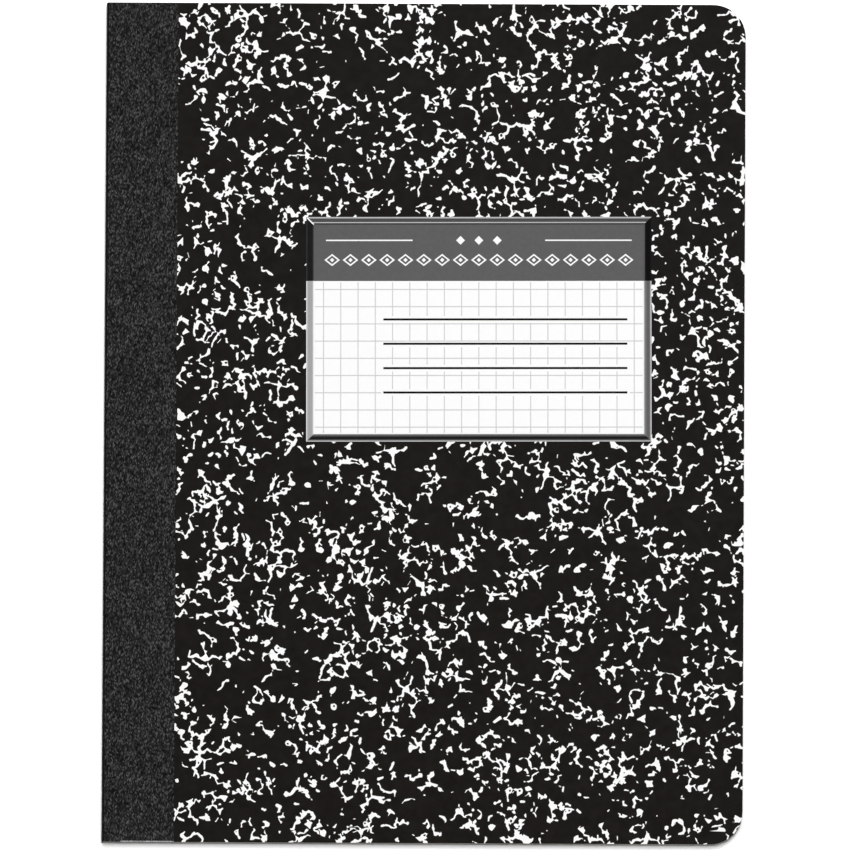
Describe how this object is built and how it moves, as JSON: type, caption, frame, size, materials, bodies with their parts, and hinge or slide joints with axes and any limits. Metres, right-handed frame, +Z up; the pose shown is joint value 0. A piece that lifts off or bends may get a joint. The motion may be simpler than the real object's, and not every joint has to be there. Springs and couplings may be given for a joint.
{
  "type": "composition notebook",
  "caption": "Sewn composition notebook with marbled board covers, a black cloth spine tape and a bare name label; both covers open at the spine.",
  "frame": {"origin": "under the middle of the closed book, on the surface that it lies on", "axes": "+X from the spine to the fore-edge, +Y from the tail to the head, +Z up out of the front cover"},
  "size_m": [0.1885, 0.2476, 0.0091],
  "materials": {
    "paper_sheets": "matte",
    "thread": "matte",
    "cloth_tape": "matte",
    "printed_board": "satin",
    "marble_white": "satin",
    "label_paper": "satin",
    "frame_grey": "satin",
    "header_grey": "satin",
    "rule_black": "matte",
    "grid_grey": "matte"
  },
  "bodies": {
    "page_block": {"page_block": "paper_sheets", "sewing_thread": "thread", "spine_tape": "cloth_tape"},
    "front_cover": {"front_cover": "printed_board", "front_tape_flap": "cloth_tape", "front_marbling": "marble_white", "label_card": "label_paper", "label_frame": "frame_grey", "label_header": "header_grey", "label_header_marks": "marble_white", "label_rules": "rule_black", "label_grid": "grid_grey"},
    "back_cover": {"back_cover": "printed_board", "back_tape_flap": "cloth_tape", "back_marbling": "marble_white"}
  },
  "joints": [
    {"name": "front_cover_hinge", "type": "hinge", "parent": "page_block", "child": "front_cover", "pos_m": [-0.0936, 0, 0.00868], "axis": [0, -1, 0], "range_deg": [0, 179]},
    {"name": "back_cover_hinge", "type": "hinge", "parent": "page_block", "child": "back_cover", "pos_m": [-0.0936, 0, 0], "axis": [0, 1, 0], "range_deg": [0, 179]}
  ]
}
